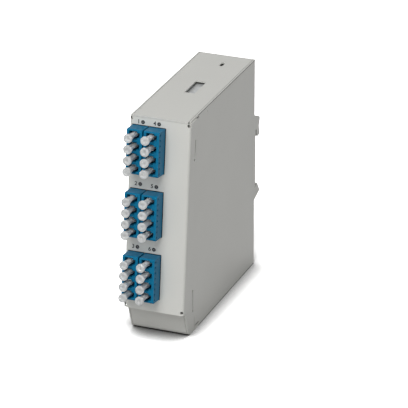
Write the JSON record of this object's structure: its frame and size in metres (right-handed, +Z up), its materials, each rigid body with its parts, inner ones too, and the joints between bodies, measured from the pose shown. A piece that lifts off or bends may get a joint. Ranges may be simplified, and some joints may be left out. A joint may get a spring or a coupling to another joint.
{
  "type": "din rail fibre box",
  "caption": "Narrow upright sheet-metal splice box for a 35 mm rail, with a leaning front of capped blue LC ports, a top window and a chin under the front.",
  "frame": {"origin": "middle of the cable gland hole on the outside of the base, which is the middle of the flat base", "axes": "+X across the width to the right seen from the front, +Y to the rear wall and the rail, +Z up"},
  "size_m": [0.0354, 0.1374, 0.126],
  "materials": {
    "grey_paint": "semi-gloss light grey powder coat",
    "zinc_sheet": "zinc-plated sheet",
    "blue_plastic": "satin moulded blue",
    "cap_plastic": "milky soft white",
    "tray_plastic": "satin off-white",
    "comb_plastic": "soft dark grey",
    "steel": "bright zinc-plated",
    "sleeve_ceramic": "polished white ceramic"
  },
  "bodies": {
    "case": {"housing": "grey_paint", "runner_left": "zinc_sheet", "runner_right": "zinc_sheet", "rail_plate": "grey_paint", "latch_spring": "steel", "rail_rivets": "steel"},
    "front_module": {"front_plate": "grey_paint", "lc_adapter_1": "blue_plastic", "lc_adapter_2": "blue_plastic", "lc_adapter_3": "blue_plastic", "lc_adapter_4": "blue_plastic", "lc_adapter_5": "blue_plastic", "lc_adapter_6": "blue_plastic", "adapter_clips": "steel", "alignment_sleeves": "sleeve_ceramic", "carrier_studs": "steel", "carrier_nuts": "steel", "tray_carrier": "zinc_sheet", "splice_tray": "tray_plastic", "splice_comb_upper": "comb_plastic", "splice_comb_lower": "comb_plastic", "tray_screws": "steel"},
    "latch": {"rail_latch": "grey_paint"},
    "cap_01": {"dust_cap_01": "cap_plastic"},
    "cap_02": {"dust_cap_02": "cap_plastic"},
    "cap_03": {"dust_cap_03": "cap_plastic"},
    "cap_04": {"dust_cap_04": "cap_plastic"},
    "cap_05": {"dust_cap_05": "cap_plastic"},
    "cap_06": {"dust_cap_06": "cap_plastic"},
    "cap_07": {"dust_cap_07": "cap_plastic"},
    "cap_08": {"dust_cap_08": "cap_plastic"},
    "cap_09": {"dust_cap_09": "cap_plastic"},
    "cap_10": {"dust_cap_10": "cap_plastic"},
    "cap_11": {"dust_cap_11": "cap_plastic"},
    "cap_12": {"dust_cap_12": "cap_plastic"},
    "cap_13": {"dust_cap_13": "cap_plastic"},
    "cap_14": {"dust_cap_14": "cap_plastic"},
    "cap_15": {"dust_cap_15": "cap_plastic"},
    "cap_16": {"dust_cap_16": "cap_plastic"},
    "cap_17": {"dust_cap_17": "cap_plastic"},
    "cap_18": {"dust_cap_18": "cap_plastic"},
    "cap_19": {"dust_cap_19": "cap_plastic"},
    "cap_20": {"dust_cap_20": "cap_plastic"},
    "cap_21": {"dust_cap_21": "cap_plastic"},
    "cap_22": {"dust_cap_22": "cap_plastic"},
    "cap_23": {"dust_cap_23": "cap_plastic"},
    "cap_24": {"dust_cap_24": "cap_plastic"}
  },
  "joints": [
    {"name": "front_slide", "type": "slide", "parent": "case", "child": "front_module", "axis": [0, -1, 0], "range_m": [0, 0.07]},
    {"name": "latch_slide", "type": "slide", "parent": "case", "child": "latch", "axis": [0, 0, -1], "range_m": [0, 0.004], "stiffness_N_per_m": 600, "springref_m": -0.004, "deforming": ["latch_spring"]},
    {"name": "cap_01_pull", "type": "slide", "parent": "front_module", "child": "cap_01", "axis": [0, -0.994, 0.109], "range_m": [0, 0.012]},
    {"name": "cap_02_pull", "type": "slide", "parent": "front_module", "child": "cap_02", "axis": [0, -0.994, 0.109], "range_m": [0, 0.012]},
    {"name": "cap_03_pull", "type": "slide", "parent": "front_module", "child": "cap_03", "axis": [0, -0.994, 0.109], "range_m": [0, 0.012]},
    {"name": "cap_04_pull", "type": "slide", "parent": "front_module", "child": "cap_04", "axis": [0, -0.994, 0.109], "range_m": [0, 0.012]},
    {"name": "cap_05_pull", "type": "slide", "parent": "front_module", "child": "cap_05", "axis": [0, -0.994, 0.109], "range_m": [0, 0.012]},
    {"name": "cap_06_pull", "type": "slide", "parent": "front_module", "child": "cap_06", "axis": [0, -0.994, 0.109], "range_m": [0, 0.012]},
    {"name": "cap_07_pull", "type": "slide", "parent": "front_module", "child": "cap_07", "axis": [0, -0.994, 0.109], "range_m": [0, 0.012]},
    {"name": "cap_08_pull", "type": "slide", "parent": "front_module", "child": "cap_08", "axis": [0, -0.994, 0.109], "range_m": [0, 0.012]},
    {"name": "cap_09_pull", "type": "slide", "parent": "front_module", "child": "cap_09", "axis": [0, -0.994, 0.109], "range_m": [0, 0.012]},
    {"name": "cap_10_pull", "type": "slide", "parent": "front_module", "child": "cap_10", "axis": [0, -0.994, 0.109], "range_m": [0, 0.012]},
    {"name": "cap_11_pull", "type": "slide", "parent": "front_module", "child": "cap_11", "axis": [0, -0.994, 0.109], "range_m": [0, 0.012]},
    {"name": "cap_12_pull", "type": "slide", "parent": "front_module", "child": "cap_12", "axis": [0, -0.994, 0.109], "range_m": [0, 0.012]},
    {"name": "cap_13_pull", "type": "slide", "parent": "front_module", "child": "cap_13", "axis": [0, -0.994, 0.109], "range_m": [0, 0.012]},
    {"name": "cap_14_pull", "type": "slide", "parent": "front_module", "child": "cap_14", "axis": [0, -0.994, 0.109], "range_m": [0, 0.012]},
    {"name": "cap_15_pull", "type": "slide", "parent": "front_module", "child": "cap_15", "axis": [0, -0.994, 0.109], "range_m": [0, 0.012]},
    {"name": "cap_16_pull", "type": "slide", "parent": "front_module", "child": "cap_16", "axis": [0, -0.994, 0.109], "range_m": [0, 0.012]},
    {"name": "cap_17_pull", "type": "slide", "parent": "front_module", "child": "cap_17", "axis": [0, -0.994, 0.109], "range_m": [0, 0.012]},
    {"name": "cap_18_pull", "type": "slide", "parent": "front_module", "child": "cap_18", "axis": [0, -0.994, 0.109], "range_m": [0, 0.012]},
    {"name": "cap_19_pull", "type": "slide", "parent": "front_module", "child": "cap_19", "axis": [0, -0.994, 0.109], "range_m": [0, 0.012]},
    {"name": "cap_20_pull", "type": "slide", "parent": "front_module", "child": "cap_20", "axis": [0, -0.994, 0.109], "range_m": [0, 0.012]},
    {"name": "cap_21_pull", "type": "slide", "parent": "front_module", "child": "cap_21", "axis": [0, -0.994, 0.109], "range_m": [0, 0.012]},
    {"name": "cap_22_pull", "type": "slide", "parent": "front_module", "child": "cap_22", "axis": [0, -0.994, 0.109], "range_m": [0, 0.012]},
    {"name": "cap_23_pull", "type": "slide", "parent": "front_module", "child": "cap_23", "axis": [0, -0.994, 0.109], "range_m": [0, 0.012]},
    {"name": "cap_24_pull", "type": "slide", "parent": "front_module", "child": "cap_24", "axis": [0, -0.994, 0.109], "range_m": [0, 0.012]}
  ]
}
